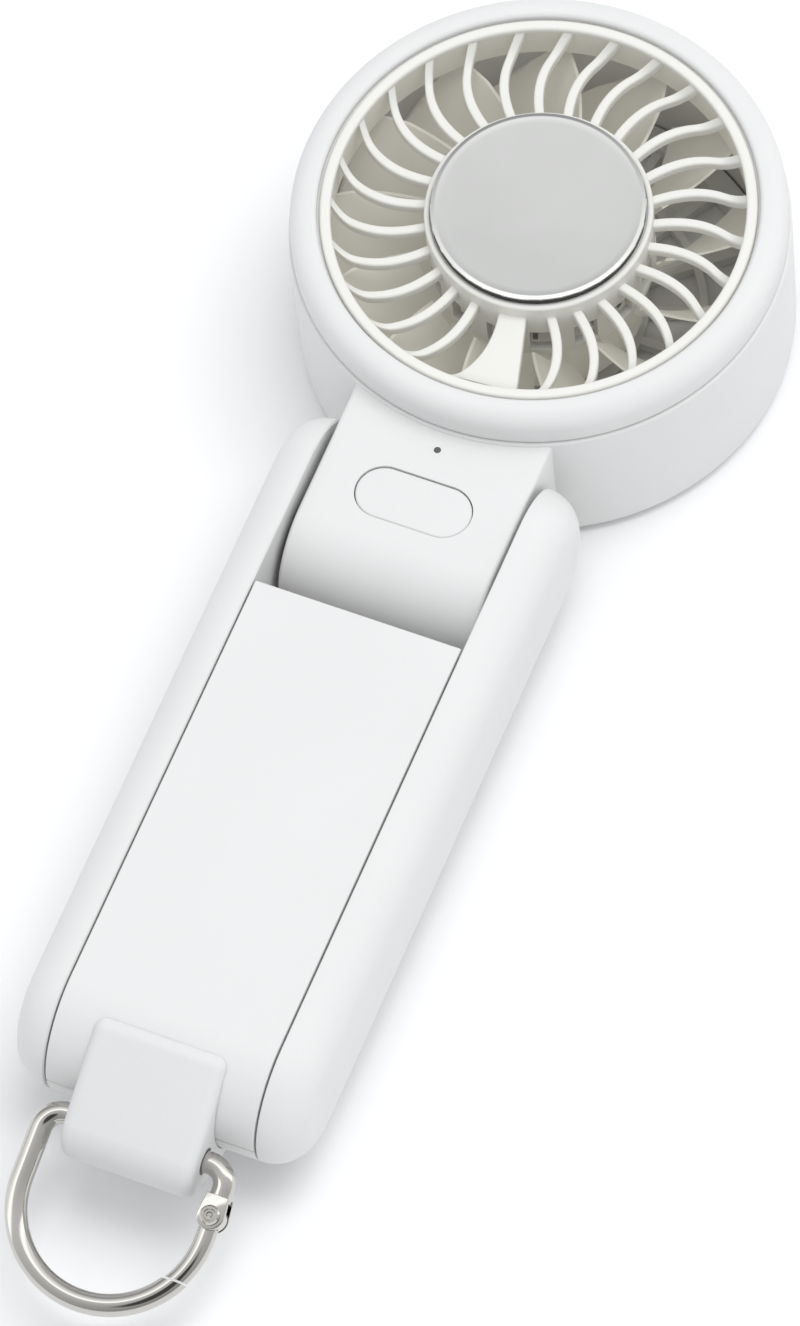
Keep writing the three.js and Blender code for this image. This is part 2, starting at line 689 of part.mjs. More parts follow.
function addNeck() {
  const neck = new THREE.Group();
  fan.add(neck);
  piece(neck, "neck_cover", block(-12.2, 12.2, -52.7, -HEAD_R - 0.8, NECK_BACK, NECK_BACK + 1.6), WHITE);
  piece(neck, "button_board", block(-12.2, 12.2, -52.7, -HEAD_R - 0.8, 17, 18.6), BOARD);
  piece(neck, "button_switch", buttonSwitch(), DARK);
  piece(neck, "power_button", powerButton(), WHITE);
  piece(neck, "led_light_pipe", lightPipe(), GREY);
  for (const [name, side] of [["left", -1], ["right", 1]]) {
    const washer = rodX(HINGE_Y, HINGE_Z, 7, 14.9, 16.4, 24).subtract(rodX(HINGE_Y, HINGE_Z, 3.3, 14, 17, 16));
    const pin = rodX(HINGE_Y, HINGE_Z, 3, 8.6, 21, 16);
    const placed = (body) => (side > 0 ? body : body.mirror([1, 0, 0]));
    piece(neck, `friction_washer_${name}`, placed(washer), DARK);
    piece(neck, `hinge_pin_${name}`, placed(pin), STEEL);
  }
}

function addHandle() {
  const handle = new THREE.Group();
  fan.add(handle);
  piece(handle, "handle_core", handleCore(), WHITE);
  piece(handle, "front_panel", frontPanel(), WHITE);
  piece(handle, "left_cheek", leftCheek(), WHITE);
  piece(handle, "right_cheek", rightCheek(), WHITE);
  piece(handle, "battery_cell", batteryCell(), CELL);
  piece(handle, "cradle_rail_left", cradleRail(-1), DARK);
  piece(handle, "cradle_rail_right", cradleRail(1), DARK);
  piece(handle, "main_board", mainBoard(), BOARD);
  piece(handle, "usb_c_socket", usbSocket(), STEEL);
  piece(handle, "strap_loop", strapLoop(), RUBBER);
  BACK_SCREWS.forEach((place, i) => piece(handle, `back_screw_${i + 1}`, backScrew(place), STEEL));
}

function addCarabiner() {
  const carabiner = new THREE.Group();
  carabiner.position.set(0, BAR_Y, HANDLE_MID);
  carabiner.rotation.x = rad(RING_DROP);
  fan.add(carabiner);
  piece(carabiner, "ring_body", ringBody(), NICKEL);
  piece(carabiner, "ring_gate", ringGate(), NICKEL);
  piece(carabiner, "gate_rivet", gateRivet(), NICKEL);
}

addHead();
addNeck();
addHandle();
addCarabiner();

// The part's origin is the middle of its box, at the bottom.
const box = new THREE.Box3().setFromObject(fan, true);
const middle = box.getCenter(new THREE.Vector3());
fan.position.set(-middle.x, -middle.y, -box.min.z);

export default fan;
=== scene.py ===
"""Looks of a folding handheld turbo fan with a cooling plate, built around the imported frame.

Every shape is drawn in millimetres in the fan's own frame: the middle of the head's back at the
origin, +Z out of the front, +Y along the handle towards the head. add_piece() brings it to metres.
"""

import json
import math

import bmesh
import bpy
from mathutils import Matrix, Vector


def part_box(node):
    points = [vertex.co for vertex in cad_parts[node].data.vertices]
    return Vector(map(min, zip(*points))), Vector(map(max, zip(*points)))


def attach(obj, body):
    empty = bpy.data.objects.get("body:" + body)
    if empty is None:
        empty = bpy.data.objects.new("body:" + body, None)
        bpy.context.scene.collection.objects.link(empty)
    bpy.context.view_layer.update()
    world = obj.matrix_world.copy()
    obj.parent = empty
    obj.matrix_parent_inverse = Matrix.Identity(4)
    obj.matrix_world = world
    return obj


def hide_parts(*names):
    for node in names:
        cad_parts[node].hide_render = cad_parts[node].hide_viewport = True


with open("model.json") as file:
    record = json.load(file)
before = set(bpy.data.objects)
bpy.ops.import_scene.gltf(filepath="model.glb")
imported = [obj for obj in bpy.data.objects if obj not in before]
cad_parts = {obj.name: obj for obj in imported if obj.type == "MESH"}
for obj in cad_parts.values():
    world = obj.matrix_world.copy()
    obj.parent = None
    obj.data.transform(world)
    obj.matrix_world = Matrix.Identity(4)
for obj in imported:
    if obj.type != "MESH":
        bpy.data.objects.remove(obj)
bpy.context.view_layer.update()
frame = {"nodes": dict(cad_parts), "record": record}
NODES = frame["nodes"]

# ---- Sizes, in millimetres ----
MM = 0.001
GAP = 0.3

HEAD_LOW, HEAD_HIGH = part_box("front_bezel")
HEAD_MIDDLE = Vector((0, (HEAD_LOW.y + HEAD_HIGH.y) / 2, 0))
TO_ROW = Matrix.Translation(HEAD_MIDDLE) @ Matrix.Scale(MM, 4)


def extent(node, axis, high=True):
    """One side of a CAD node's box, in millimetres in the fan's frame."""
    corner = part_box(node)[1 if high else 0] - HEAD_MIDDLE
    return corner[axis] / MM


HEAD_R = 38.0
SHELL_WALL = 2.0
SHELL_TOP = extent("head_shell", 2)
BEZEL_R = 37.6
BEZEL_TOP = extent("front_bezel", 2)
GRILLE_R = 31.3
SPOKE_TOP = 29.7
SPOKE_RISE = 3.3  # how far a spoke climbs to the rim at its outer end
SPOKE_SWEEP = 9.1  # how far it swings ahead of its place on the rim, in degrees
SWING_R = 20.9
CLIMB_R = 28.3
SPOKE_PITCHES = 27
PITCH = 360 / SPOKE_PITCHES
BRIDGE_ANGLE = 6.5
BRIDGE_SIDE = 9.0  # from there to the bridge's straight side, in degrees
HUB_R = 17.3
HUB_TOP = extent("front_grille", 2) - 1.0
PLATE_R = 16.5
PLATE_TOP = extent("cooling_plate", 2)
BLADES = 13
BLADE_IN = 14.7
BLADE_OUT = 34.4
BLADE_LEAN = -1.7  # degrees for each mm of height
BLADE_SWEEP = 0.9  # degrees for each mm of radius

HINGE_Y = -57.0
HINGE_Z = 17.0
NECK_HALF = 15.8
BARREL_R = 10.1
NECK_FRONT = HINGE_Z + BARREL_R
NECK_BACK = HINGE_Z - BARREL_R
BUTTON_Y = -50.4
BUTTON_SIZE = (18.2, 8.6)
LED_Y = -41.0

HANDLE_HALF = extent("right_cheek", 0)
HANDLE_BACK = extent("handle_core", 2, high=False)
HANDLE_FRONT = extent("front_panel", 2)
HANDLE_TOP = extent("right_cheek", 1)
HANDLE_BOTTOM = extent("right_cheek", 1, high=False)
PANEL_HALF = extent("front_panel", 0)
PANEL_TOP = extent("front_panel", 1)
END_R = (HANDLE_FRONT - HANDLE_BACK) / 2
HANDLE_MID = (HANDLE_FRONT + HANDLE_BACK) / 2
EDGE_R = 6.2  # rounding of the cheeks' outer edges

BAR_Y = -157.0
WIRE_R = 1.7
GATE_WIRE_R = 1.5
RING_R = 14.4
RING_STRAIGHT = 10.7
RING_CORNER = 3.2
RING_DROP = 16.0
RIVET_DROP = 7.4
NOTCH_DROP = 18.1
LOOP_HALF = 10.4
LOOP_NOSE = 6.0

MOTOR_SCREW_R = 7.4
MOTOR_SCREW_ANGLES = (30, 150, 270)
BACK_SCREWS = [(-12, -135), (12, -135), (-12, -92), (12, -92)]

PIECE_CREASE = 32  # faces that meet at more than this many degrees keep a sharp edge
NODE_CREASE = 30


# ---- Mesh helpers ----
def loft(rings, closed=False):
    """A closed mesh through rings of points. closed joins the last ring to the first."""
    bm = bmesh.new()
    rows = [[bm.verts.new(p) for p in ring] for ring in rings]
    pairs = list(zip(rows, rows[1:]))
    if closed:
        pairs.append((rows[-1], rows[0]))
    for a, b in pairs:
        for i in range(len(a)):
            j = (i + 1) % len(a)
            bm.faces.new((a[i], a[j], b[j], b[i]))
    if not closed:
        bm.faces.new(list(reversed(rows[0])))
        bm.faces.new(rows[-1])
    bmesh.ops.recalc_face_normals(bm, faces=bm.faces)
    return bm


def circle(radius, z, count=160, x=0.0, y=0.0):
    turn = 2 * math.pi / count
    return [Vector((x + radius * math.cos(turn * i), y + radius * math.sin(turn * i), z))
            for i in range(count)]


def turned(profile, closed=True, count=160, x=0.0, y=0.0):
    """A body turned about Z from [radius, z] points: a closed loop, or a stack with flat ends."""
    return loft([circle(r, z, count, x, y) for r, z in profile], closed=closed)


def peg(radius, low, high, x=0.0, y=0.0, count=40):
    """A plain upright cylinder, to cut a round hole with."""
    return turned([(radius, low), (radius, high)], closed=False, count=count, x=x, y=y)


def fillet(cx, cz, radius, start, end, steps=8):
    """Points of an arc in a profile, by angle in degrees."""
    angles = [math.radians(start + (end - start) * i / steps) for i in range(steps + 1)]
    return [(cx + radius * math.cos(a), cz + radius * math.sin(a)) for a in angles]


def arc(cx, cy, radius, start, end, steps):
    return [Vector(p) for p in fillet(cx, cy, radius, start, end, steps)]


def inset(outline, distance):
    """A closed outline moved inwards along its normals. The outline runs anticlockwise."""
    moved = []
    count = len(outline)
    for i, p in enumerate(outline):
        along = outline[(i + 1) % count] - outline[i - 1]
        normal = Vector((along.y, -along.x)).normalized()
        moved.append(p - normal * distance)
    return moved


def slab(outline, low, high, low_round=0.0, high_round=0.0, place=None, steps=8):
    """An outline raised from low to high, with rounded rims. place(u, v, w) puts a point."""
    place = place or (lambda u, v, w: Vector((u, v, w)))
    stations = []
    if low_round:
        stations += [(low + d, i) for d, i in rounded_rim(low_round, steps)]
    else:
        stations.append((low, 0.0))
    if high_round:
        stations += [(high - d, i) for d, i in reversed(rounded_rim(high_round, steps))]
    else:
        stations.append((high, 0.0))
    return loft([[place(p.x, p.y, w) for p in inset(outline, i)] for w, i in stations])


def rounded_rim(radius, steps=8):
    """(depth from the face, inset from the side) along a quarter round, face first."""
    turns = [math.pi / 2 * i / steps for i in range(steps + 1)]
    return [(radius * (1 - math.cos(a)), radius * (1 - math.sin(a))) for a in turns]


def box_mesh(low, high):
    bm = bmesh.new()
    bmesh.ops.create_cube(bm, size=1)
    low, high = Vector(low), Vector(high)
    size = Matrix.Diagonal((*(high - low), 1))
    bm.transform(Matrix.Translation((low + high) / 2) @ size)
    return bm


def spun(bm, degrees):
    bm.transform(Matrix.Rotation(math.radians(degrees), 4, "Z"))
    return bm


def across(u, v, w):
    """Puts an outline drawn in Y and Z across the handle, at X = w."""
    return Vector((w, u, v))


def oval(width, height, y, steps=16):
    r = height / 2
    reach = width / 2 - r
    return arc(reach, y, r, -90, 90, steps) + arc(-reach, y, r, 90, 270, steps)


def mesh_of(name, bms):
    """One mesh from several bmeshes, which are used up."""
    mesh = bpy.data.meshes.new(name)
    whole = bmesh.new()
    for bm in bms:
        part = bpy.data.meshes.new("part")
        bm.to_mesh(part)
        bm.free()
        whole.from_mesh(part)
        bpy.data.meshes.remove(part)
    whole.to_mesh(mesh)
    whole.free()
    return mesh


def cut(obj, bms):
    """Takes bodies away from an object's mesh for good."""
    tool = bpy.data.objects.new("tool", mesh_of("tool", bms))
    bpy.context.scene.collection.objects.link(tool)
    modifier = obj.modifiers.new("cut", "BOOLEAN")
    modifier.operation = "DIFFERENCE"
    modifier.solver = "EXACT"
    modifier.use_self = True
    modifier.object = tool
    bpy.context.view_layer.update()
    shaped = obj.evaluated_get(bpy.context.evaluated_depsgraph_get())
    result = bpy.data.meshes.new_from_object(shaped)
    obj.modifiers.remove(modifier)
    obj.data = result
    bpy.data.objects.remove(tool)


def shade_smooth(obj, crease):
    for polygon in obj.data.polygons:
        polygon.use_smooth = True
    obj.data.set_sharp_from_angle(angle=math.radians(crease))


def add_piece(name, bms, body, slot, nodes=(), cutters=(), bevel=0.0, local=None):
    """Makes one visible piece, in metres, riding on a body and standing for CAD nodes."""
    obj = bpy.data.objects.new(name, mesh_of(name, bms))
    bpy.context.scene.collection.objects.link(obj)
    if cutters:
        cut(obj, cutters)
    if local is not None:
        obj.data.transform(local)
    obj.data.transform(TO_ROW)
    obj.data.materials.clear()
    obj.data.materials.append(MATERIALS[slot])
    shade_smooth(obj, PIECE_CREASE)
    if bevel:
        soften(obj, bevel)
    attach(obj, body)
    if nodes:
        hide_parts(*nodes)


def white_piece(name, bms, body, nodes=(), **more):
    add_piece(name, bms, body, "white_shell", nodes, **more)


def soften(obj, width):
    """A small moulded radius on an object's sharp edges."""
    modifier = obj.modifiers.new("edge", "BEVEL")
    modifier.width = width * MM
    modifier.segments = 3
    modifier.limit_method = "ANGLE"
    modifier.angle_limit = math.radians(38)
    modifier.use_clamp_overlap = True


# ---- Material helpers ----
class Nodes:
    """A material's node tree, with short calls for the nodes that the materials share."""

    def __init__(self, name, color, roughness, metallic=0.0):
        self.material = bpy.data.materials.new(name)
        self.material.use_nodes = True
        self.tree = self.material.node_tree
        self.shader = self.tree.nodes["Principled BSDF"]
        self.shader.inputs["Base Color"].default_value = (*color, 1)
        self.shader.inputs["Roughness"].default_value = roughness
        self.shader.inputs["Metallic"].default_value = metallic
        self.place = self.tree.nodes.new("ShaderNodeTexCoord").outputs["Object"]

    def node(self, kind, **settings):
        made = self.tree.nodes.new(kind)
        for key, value in settings.items():
            setattr(made, key, value)
        return made

    def link(self, source, target):
        self.tree.links.new(source, target)

    def noise(self, scale, detail=3.0, stretch=None):
        made = self.node("ShaderNodeTexNoise")
        made.inputs["Scale"].default_value = scale
        made.inputs["Detail"].default_value = detail
        source = self.place
        if stretch:
            mapping = self.node("ShaderNodeMapping")
            mapping.inputs["Scale"].default_value = stretch
            self.link(source, mapping.inputs["Vector"])
            source = mapping.outputs["Vector"]
        self.link(source, made.inputs["Vector"])
        return made.outputs["Fac"]

    def spread(self, value, low, high, start=0.3, end=0.7):
        made = self.node("ShaderNodeMapRange")
        made.inputs["From Min"].default_value = start
        made.inputs["From Max"].default_value = end
        made.inputs["To Min"].default_value = low
        made.inputs["To Max"].default_value = high
        self.link(value, made.inputs["Value"])
        return made.outputs["Result"]

    def tint(self, value, color_a, color_b):
        made = self.node("ShaderNodeMix", data_type="RGBA")
        self.link(value, made.inputs["Factor"])
        made.inputs[6].default_value = (*color_a, 1)
        made.inputs[7].default_value = (*color_b, 1)
        self.link(made.outputs[2], self.shader.inputs["Base Color"])

    def bump(self, value, distance):
        made = self.node("ShaderNodeBump")
        made.inputs["Strength"].default_value = 1.0
        made.inputs["Distance"].default_value = distance
        self.link(value, made.inputs["Height"])
        self.link(made.outputs["Normal"], self.shader.inputs["Normal"])


def shade(color, factor):
    return tuple(c * factor for c in color)


def plastic(name, color, roughness, grain=0.02, grain_scale=2600):
    """Moulded plastic: a fine eroded texture, and slight unevenness of colour and gloss."""
    m = Nodes(name, color, roughness)
    m.tint(m.spread(m.noise(45, 2.0), 0, 1), shade(color, 0.98), color)
    gloss = m.spread(m.noise(300, 2.0), roughness - 0.04, roughness + 0.04)
    m.link(gloss, m.shader.inputs["Roughness"])
    m.bump(m.noise(grain_scale, 2.0), grain * MM)
    return m.material


def metal(name, color, roughness, scratch, stretch=(1, 1, 1), spread=0.04, scale=900):
    """Polished or brushed metal: hairline unevenness in gloss and height along one direction."""
    m = Nodes(name, color, roughness, 1.0)
    lines = m.noise(scale, 4.0, stretch)
    m.tint(m.spread(m.noise(60), 0, 1), shade(color, 0.94), color)
    gloss = m.spread(lines, max(0.02, roughness - spread), roughness + spread)
    m.link(gloss, m.shader.inputs["Roughness"])
    m.bump(lines, scratch * MM)
    return m.material


def plastic_with_painted_light(name, color, roughness, painted_light_strength):
    """Thin milky plastic with painted light: an even glow that lifts the shade between the blades."""
    material = plastic(name, color, roughness, grain=0.01)
    shader = material.node_tree.nodes["Principled BSDF"]
    shader.inputs["Emission Color"].default_value = (*color, 1)
    shader.inputs["Emission Strength"].default_value = painted_light_strength
    return material


def board_material():
    """Green solder mask with a faint pattern of tracks."""
    green = (0.015, 0.10, 0.05)
    m = Nodes("solder_mask", green, 0.35)
    tracks = m.node("ShaderNodeTexBrick")
    tracks.inputs["Scale"].default_value = 420
    tracks.inputs["Color1"].default_value = (*green, 1)
    tracks.inputs["Color2"].default_value = (*shade(green, 1.25), 1)
    tracks.inputs["Mortar"].default_value = (*shade(green, 1.9), 1)
    m.link(m.place, tracks.inputs["Vector"])
    m.link(tracks.outputs["Color"], m.shader.inputs["Base Color"])
    return m.material


def copper_material():
    """Enamelled winding wire, lying in turns."""
    copper = (0.62, 0.24, 0.09)
    m = Nodes("copper_winding", copper, 0.32, 1.0)
    turns = m.node("ShaderNodeTexWave", bands_direction="Z")
    turns.inputs["Scale"].default_value = 800
    m.link(m.place, turns.inputs["Vector"])
    m.bump(turns.outputs["Fac"], 0.1 * MM)
    return m.material


WHITE = (0.76, 0.76, 0.753)
CREAM = (0.80, 0.793, 0.75)

MATERIALS = {
    "white_shell": plastic("white_shell", WHITE, 0.5),
    "cream_grille": plastic("cream_grille", CREAM, 0.42, grain=0.008),
    "soft_loop": plastic("soft_loop", (0.74, 0.74, 0.74), 0.62, grain=0.03, grain_scale=3400),
    # impeller_grey glows with painted light, which lifts the shade between the blades.
    "impeller_grey": plastic_with_painted_light("impeller_grey", (0.56, 0.545, 0.485), 0.4, 0.24),
    "dark_plastic": plastic("dark_plastic", (0.025, 0.025, 0.027), 0.5),
    "circuit_board": board_material(),
    "ceramic": plastic("ceramic", (0.75, 0.75, 0.73), 0.3, grain=0.004),
    "cooling_metal": metal("cooling_metal", (0.72, 0.73, 0.72), 0.12, 0.0006, spread=0.02),
    "aluminium": metal("aluminium", (0.36, 0.37, 0.38), 0.38, 0.006, (1, 8, 1)),
    "steel": metal("steel", (0.40, 0.41, 0.42), 0.3, 0.004),
    "nickel": metal("nickel", (0.60, 0.585, 0.555), 0.07, 0.0015, spread=0.03, scale=500),
    "copper": copper_material(),
    "battery_wrap": plastic("battery_wrap", (0.05, 0.19, 0.33), 0.28, grain=0.006),
    "light_pipe": plastic("light_pipe", (0.10, 0.10, 0.10), 0.2, grain=0.002),
}


def finish_cad_nodes():
    """Gives every CAD node its slot's material and smooth faces."""
    slots = {part["node"]: part["material_slot"] for part in frame["record"]["subparts"]}
    for name, obj in NODES.items():
        obj.data.materials.clear()
        obj.data.materials.append(MATERIALS[slots[name]])
        shade_smooth(obj, NODE_CREASE)


# ---- Head ----
def shell_skin():
    """The shell round the head: a tube with a rounded back edge and a lip for the intake grille."""
    wall = HEAD_R - SHELL_WALL
    lip = HEAD_R - 4.0
    lip_top = 2.2
    back_round = 2.4
    front_round = 0.35
    profile = [(lip, 0.4), (lip + 0.4, 0)]
    profile += fillet(HEAD_R - back_round, back_round, back_round, -90, 0, 10)
    profile += fillet(HEAD_R - front_round, SHELL_TOP - front_round, front_round, 0, 90, 4)
    profile += [(wall, SHELL_TOP), (wall, lip_top), (lip, lip_top)]
    return turned(profile, count=200)


def neck_ring(x, shrink):
    """The neck's side view at one X: two flats, the barrel's round end and the shell's curve."""
    meets = -math.sqrt((HEAD_R - 1.0) ** 2 - x * x)
    r = BARREL_R - shrink
    lower = [Vector((meets + (HINGE_Y - meets) * i / 12, HINGE_Z - r)) for i in range(12)]
    upper = [Vector((HINGE_Y + (meets - HINGE_Y) * i / 12, HINGE_Z + r)) for i in range(1, 13)]
    end = arc(HINGE_Y, HINGE_Z, r, 270, 90, 40)
    return [across(p.x, p.y, x) for p in lower + end + upper]


def neck():
    edge = 0.7
    rim = rounded_rim(edge, 5)
    half = NECK_HALF
    stations = [(-half + d, i) for d, i in rim]
    stations += [(-half + edge + (2 * half - 2 * edge) * i / 16, 0.0) for i in range(1, 16)]
    stations += [(half - d, i) for d, i in reversed(rim)]
    return loft([neck_ring(x, shrink) for x, shrink in stations])


def build_head():
    button_w, button_h = BUTTON_SIZE
    above = NECK_FRONT + 1
    pocket = slab(oval(button_w + GAP, button_h + GAP, BUTTON_Y, 24), 23.0, above)
    led = peg(0.55, 24.0, above, y=LED_Y, count=32)
    cover = box_mesh((-12.5, -53.0, NECK_BACK - 1), (12.5, -HEAD_R - 0.5, NECK_BACK + 1.9))
    white_piece("neck", [neck()], "head", cutters=[pocket, led, cover])
    white_piece("shell", [shell_skin()], "head", ["head_shell"])
    white_piece("bezel", [bezel()], "head", ["front_bezel"])
    add_piece("grille", grille_parts(), "head", "cream_grille", ["front_grille"])
    # The wall inside the rim is grey as painted shade, and glows with the blades' painted light.
    add_piece("painted_shade_duct", [painted_shade_duct()], "head", "impeller_grey", ["front_grille"])
    plate = turned(plate_profile(), closed=False, count=192)
    add_piece("plate", [plate], "head", "cooling_metal", ["cooling_plate"])
    # A black ring that paints the shadow in the gap below the plate's rim.
    add_piece("painted_shadow_ring", [painted_shadow_ring()], "head", "dark_plastic")
    white_piece("intake_grille", rear_grille_parts(), "head", ["rear_grille"], cutters=rear_screw_holes())
    cap = oval(button_w, button_h, BUTTON_Y, 24)
    button = slab(cap, 23.6, NECK_FRONT - 0.15, high_round=0.35, steps=5)
    white_piece("button_cap", [button], "button", ["power_button"])


def bezel():
    """The ring round the grille, with a thin bead inside that closes the line between the two."""
    inner = GRILLE_R + 2.1
    seat = inner + 2.2
    low = 24.5
    round_low, round_out, round_in = 0.25, 2.9, 0.7
    profile = [(inner, low), (seat, low), (seat, SHELL_TOP + GAP)]
    profile += fillet(BEZEL_R - round_low, SHELL_TOP + GAP + round_low, round_low, -90, 0, 3)
    profile += fillet(BEZEL_R - round_out, BEZEL_TOP - round_out, round_out, 0, 90, 14)
    profile += fillet(inner + round_in, BEZEL_TOP - round_in, round_in, 90, 180, 6)
    bead_top = HUB_TOP + 0.1
    bead = inner - 0.35
    profile += [(inner, bead_top), (bead, bead_top - 0.1), (bead, bead_top - 0.5), (inner, bead_top - 0.6)]
    return turned(profile, count=200)


def plate_profile():
    """The plate from its underside up: a polished, sloping rim and a very slightly dished face."""
    rim = PLATE_R - 0.2
    under = PLATE_R - 1.0
    low = PLATE_TOP - 3.2
    brow = PLATE_TOP - 0.3
    profile = [(1.0, low), (under, low), (under, brow - 0.05), (rim - 0.05, brow - 0.05), (rim, brow)]
    profile += [(rim - 0.08, PLATE_TOP - 0.12), (rim - 0.55, PLATE_TOP - 0.02), (rim - 0.65, PLATE_TOP)]
    face = rim - 0.8
    hollow = 0.12
    shares = [1 - i / 16 for i in range(16)]
    return profile + [(face * t, PLATE_TOP - 0.02 - hollow * (1 - t * t)) for t in shares]


def painted_shadow_ring():
    """A black ring below the plate's rim: painted shadow for the dark gap there."""
    inner = PLATE_R - 0.95
    outer = PLATE_R - 0.25
    low, high = HUB_TOP + 0.05, PLATE_TOP - 0.38
    return turned([(inner, low), (outer, low), (outer, high), (inner, high)])


def swing(radius):
    """How far a spoke has swung ahead of its place on the rim, in degrees."""
    return SPOKE_SWEEP * (1 - ((radius - SWING_R) / (GRILLE_R + 0.5 - SWING_R)) ** 2)


def climb(radius):
    """How far a spoke has climbed above its level run from the hub."""
    return SPOKE_RISE * max(0, (radius - CLIMB_R) / (GRILLE_R + 0.5 - CLIMB_R)) ** 2


def spoke(start, end, depth, angle):
    """A bowed bar with rounded upper edges. start and end give its sides' angles at a radius."""
    rounding = 0.4
    steps = 26
    rings = []
    for step in range(steps + 1):
        radius = HUB_R - 0.5 + (GRILLE_R + 0.5 - HUB_R + 0.5) * step / steps
        first, last = (math.radians(side(radius) + angle - 90) * radius for side in (start, end))
        top = SPOKE_TOP + climb(radius)
        section = [(first, top - depth), (last, top - depth)]
        section += fillet(last - rounding, top - rounding, rounding, 0, 90, 5)
        section += fillet(first + rounding, top - rounding, rounding, 90, 180, 5)
        turns = [(along / radius, z) for along, z in section]
        rings.append([Vector((radius * math.cos(a), radius * math.sin(a), z)) for a, z in turns])
    return loft(rings)


def thin_spoke(angle):
    half = 0.75

    def side(sign):
        return lambda radius: swing(radius) + sign * math.degrees(half / radius)

    return spoke(side(-1), side(1), 1.5, angle)


def sector(inner, outer, start, end, low, high):
    """A block between two radii and two angles."""
    outline = arc(0, 0, outer, start, end, 4) + arc(0, 0, inner, end, start, 4)
    return loft([[Vector((p.x, p.y, z)) for p in outline] for z in (low, high)])


def grille_parts():
    """The grille: rim, hub cup on posts over the motor's seat, thin spokes and one wide bridge."""
    rim_out = GRILLE_R + 1.7
    top = HUB_TOP + 1.0
    rim = [(GRILLE_R, top - 0.9), (GRILLE_R + 0.6, top - 1.3), (rim_out, top - 1.3)]
    rim += fillet(rim_out - 0.5, top - 0.5, 0.5, 0, 90, 5)
    rim += fillet(GRILLE_R + 0.5, top - 0.5, 0.5, 90, 180, 5)
    wall = HUB_R - 1.4
    cup_low = 25.4
    seat_low, seat_high = 19.0, 20.2
    hub = [(wall, cup_low), (HUB_R, cup_low)]
    hub += fillet(HUB_R - 0.45, HUB_TOP - 0.45, 0.45, 0, 90, 5)
    hub += fillet(PLATE_R + 0.1, HUB_TOP - 0.2, 0.2, 90, 180, 3) + [(wall, HUB_TOP - 0.3)]
    parts = [turned(rim, count=200), turned(hub, count=160)]
    seat = [(wall, seat_low), (HUB_R, seat_low), (HUB_R, seat_high), (wall, seat_high)]
    parts.append(turned(seat, count=160))
    posts = 16
    for i in range(posts):
        middle = 360 / posts * (i + 0.5)
        parts.append(sector(wall, HUB_R, middle - 5, middle + 5, seat_high - 0.1, cup_low + 0.1))
    for i in range(1, SPOKE_PITCHES - 1):
        parts.append(thin_spoke(BRIDGE_ANGLE + PITCH * i))
    bridge = spoke(lambda radius: swing(radius) - PITCH, lambda radius: BRIDGE_SIDE, 1.9, BRIDGE_ANGLE)
    return parts + [bridge]


def painted_shade_duct():
    """The wall round the blades, under the grille's lip, in the blades' grey: painted shade for the dark
    inside of the rim, with the blades' painted glow.
    """
    inner, outer = GRILLE_R + 0.45, GRILLE_R + 1.7
    low, high = 25.9, HUB_TOP - 0.35
    return turned([(inner, low), (outer, low), (outer, high), (inner, high)], count=200)


def rear_screw_holes():
    holes = []
    for angle in MOTOR_SCREW_ANGLES:
        a = math.radians(angle)
        holes.append(peg(1.9, -1, 1.7, MOTOR_SCREW_R * math.cos(a), MOTOR_SCREW_R * math.sin(a)))
    return holes


def rear_grille_parts():
    """The intake grille: an outer ring, a middle ring and the motor's plate, joined by ribs."""
    back, front = 0.4, 2.5
    edge = HEAD_R - 4.3
    flange = HEAD_R - 2.4
    outer = [(32.2, back), (edge, back), (edge, front), (flange, front), (flange, 3.7), (32.2, 3.7)]
    middle = [(23.3, 0.7), (23.6, back), (24.2, back), (24.5, 0.7), (24.5, front), (23.3, front)]
    centre = [(0.5, back), (15.0, back), (15.5, 0.9), (15.5, front), (0.5, front)]
    parts = [turned(outer), turned(middle), turned(centre, closed=False)]
    ribs = 18
    half = 0.7
    for i in range(ribs):
        for inner, reach in ((15.4, 23.4), (24.4, 32.4)):
            rib = box_mesh((inner, -half, back + 0.1), (reach, half, front - 0.1))
            parts.append(spun(rib, 360 / ribs * i))
    return parts


# ---- Impeller ----
def blade(angle):
    """A thin twisted blade with a rounded crest, from the wheel's hub to its tip."""
    columns = 18
    heights = 10
    rows = []
    for i in range(columns + 1):
        radius = BLADE_IN + (BLADE_OUT - BLADE_IN) * i / columns
        low = 6.7 + (radius - BLADE_IN) * 0.07
        # Near the hub a blade stays below the motor's seat.
        high = 17.0 if radius < 18.1 else min(24.0, 22.4 + (radius - 18.2) * 0.15)
        row = []
        for side in (1, -1):
            for step in range(heights + 1):
                share = (step if side > 0 else heights - step) / heights
                z = low + (high - low) * share
                twist = math.radians((z - 16) * BLADE_LEAN + (radius - 25) * BLADE_SWEEP + angle)
                half = 0.45 * (1 - 0.45 * abs(2 * share - 1) ** 3)
                a = twist + side * half / radius
                row.append(Vector((radius * math.cos(a), radius * math.sin(a), z)))
        rows.append(row)
    return loft(rows)


def build_impeller():
    bore, cup, outer = 1.5, 12.6, 15.0
    low, ceiling, crown = 5.0, 15.6, 17.4
    crown_round = 1.4
    hub = [(bore, ceiling), (cup, ceiling), (cup, low), (outer, low)]
    hub += fillet(outer - crown_round, crown - crown_round, crown_round, 0, 90, 6)
    hub += [(bore, crown)]
    parts = [turned(hub, count=120)]
    parts += [blade(360 / BLADES * i) for i in range(BLADES)]
    add_piece("fan_blades", parts, "fan_wheel", "impeller_grey", ["impeller"])


# ---- Handle ----
def handle_side(shrink=0.0):
    """The handle's side view in Y and Z, anticlockwise: two round ends and the flats between."""
    r = END_R - shrink
    top_y = HANDLE_TOP - END_R
    low_y = HANDLE_BOTTOM + END_R
    return arc(top_y, HANDLE_MID, r, -90, 90, 36) + arc(low_y, HANDLE_MID, r, 90, 270, 36)


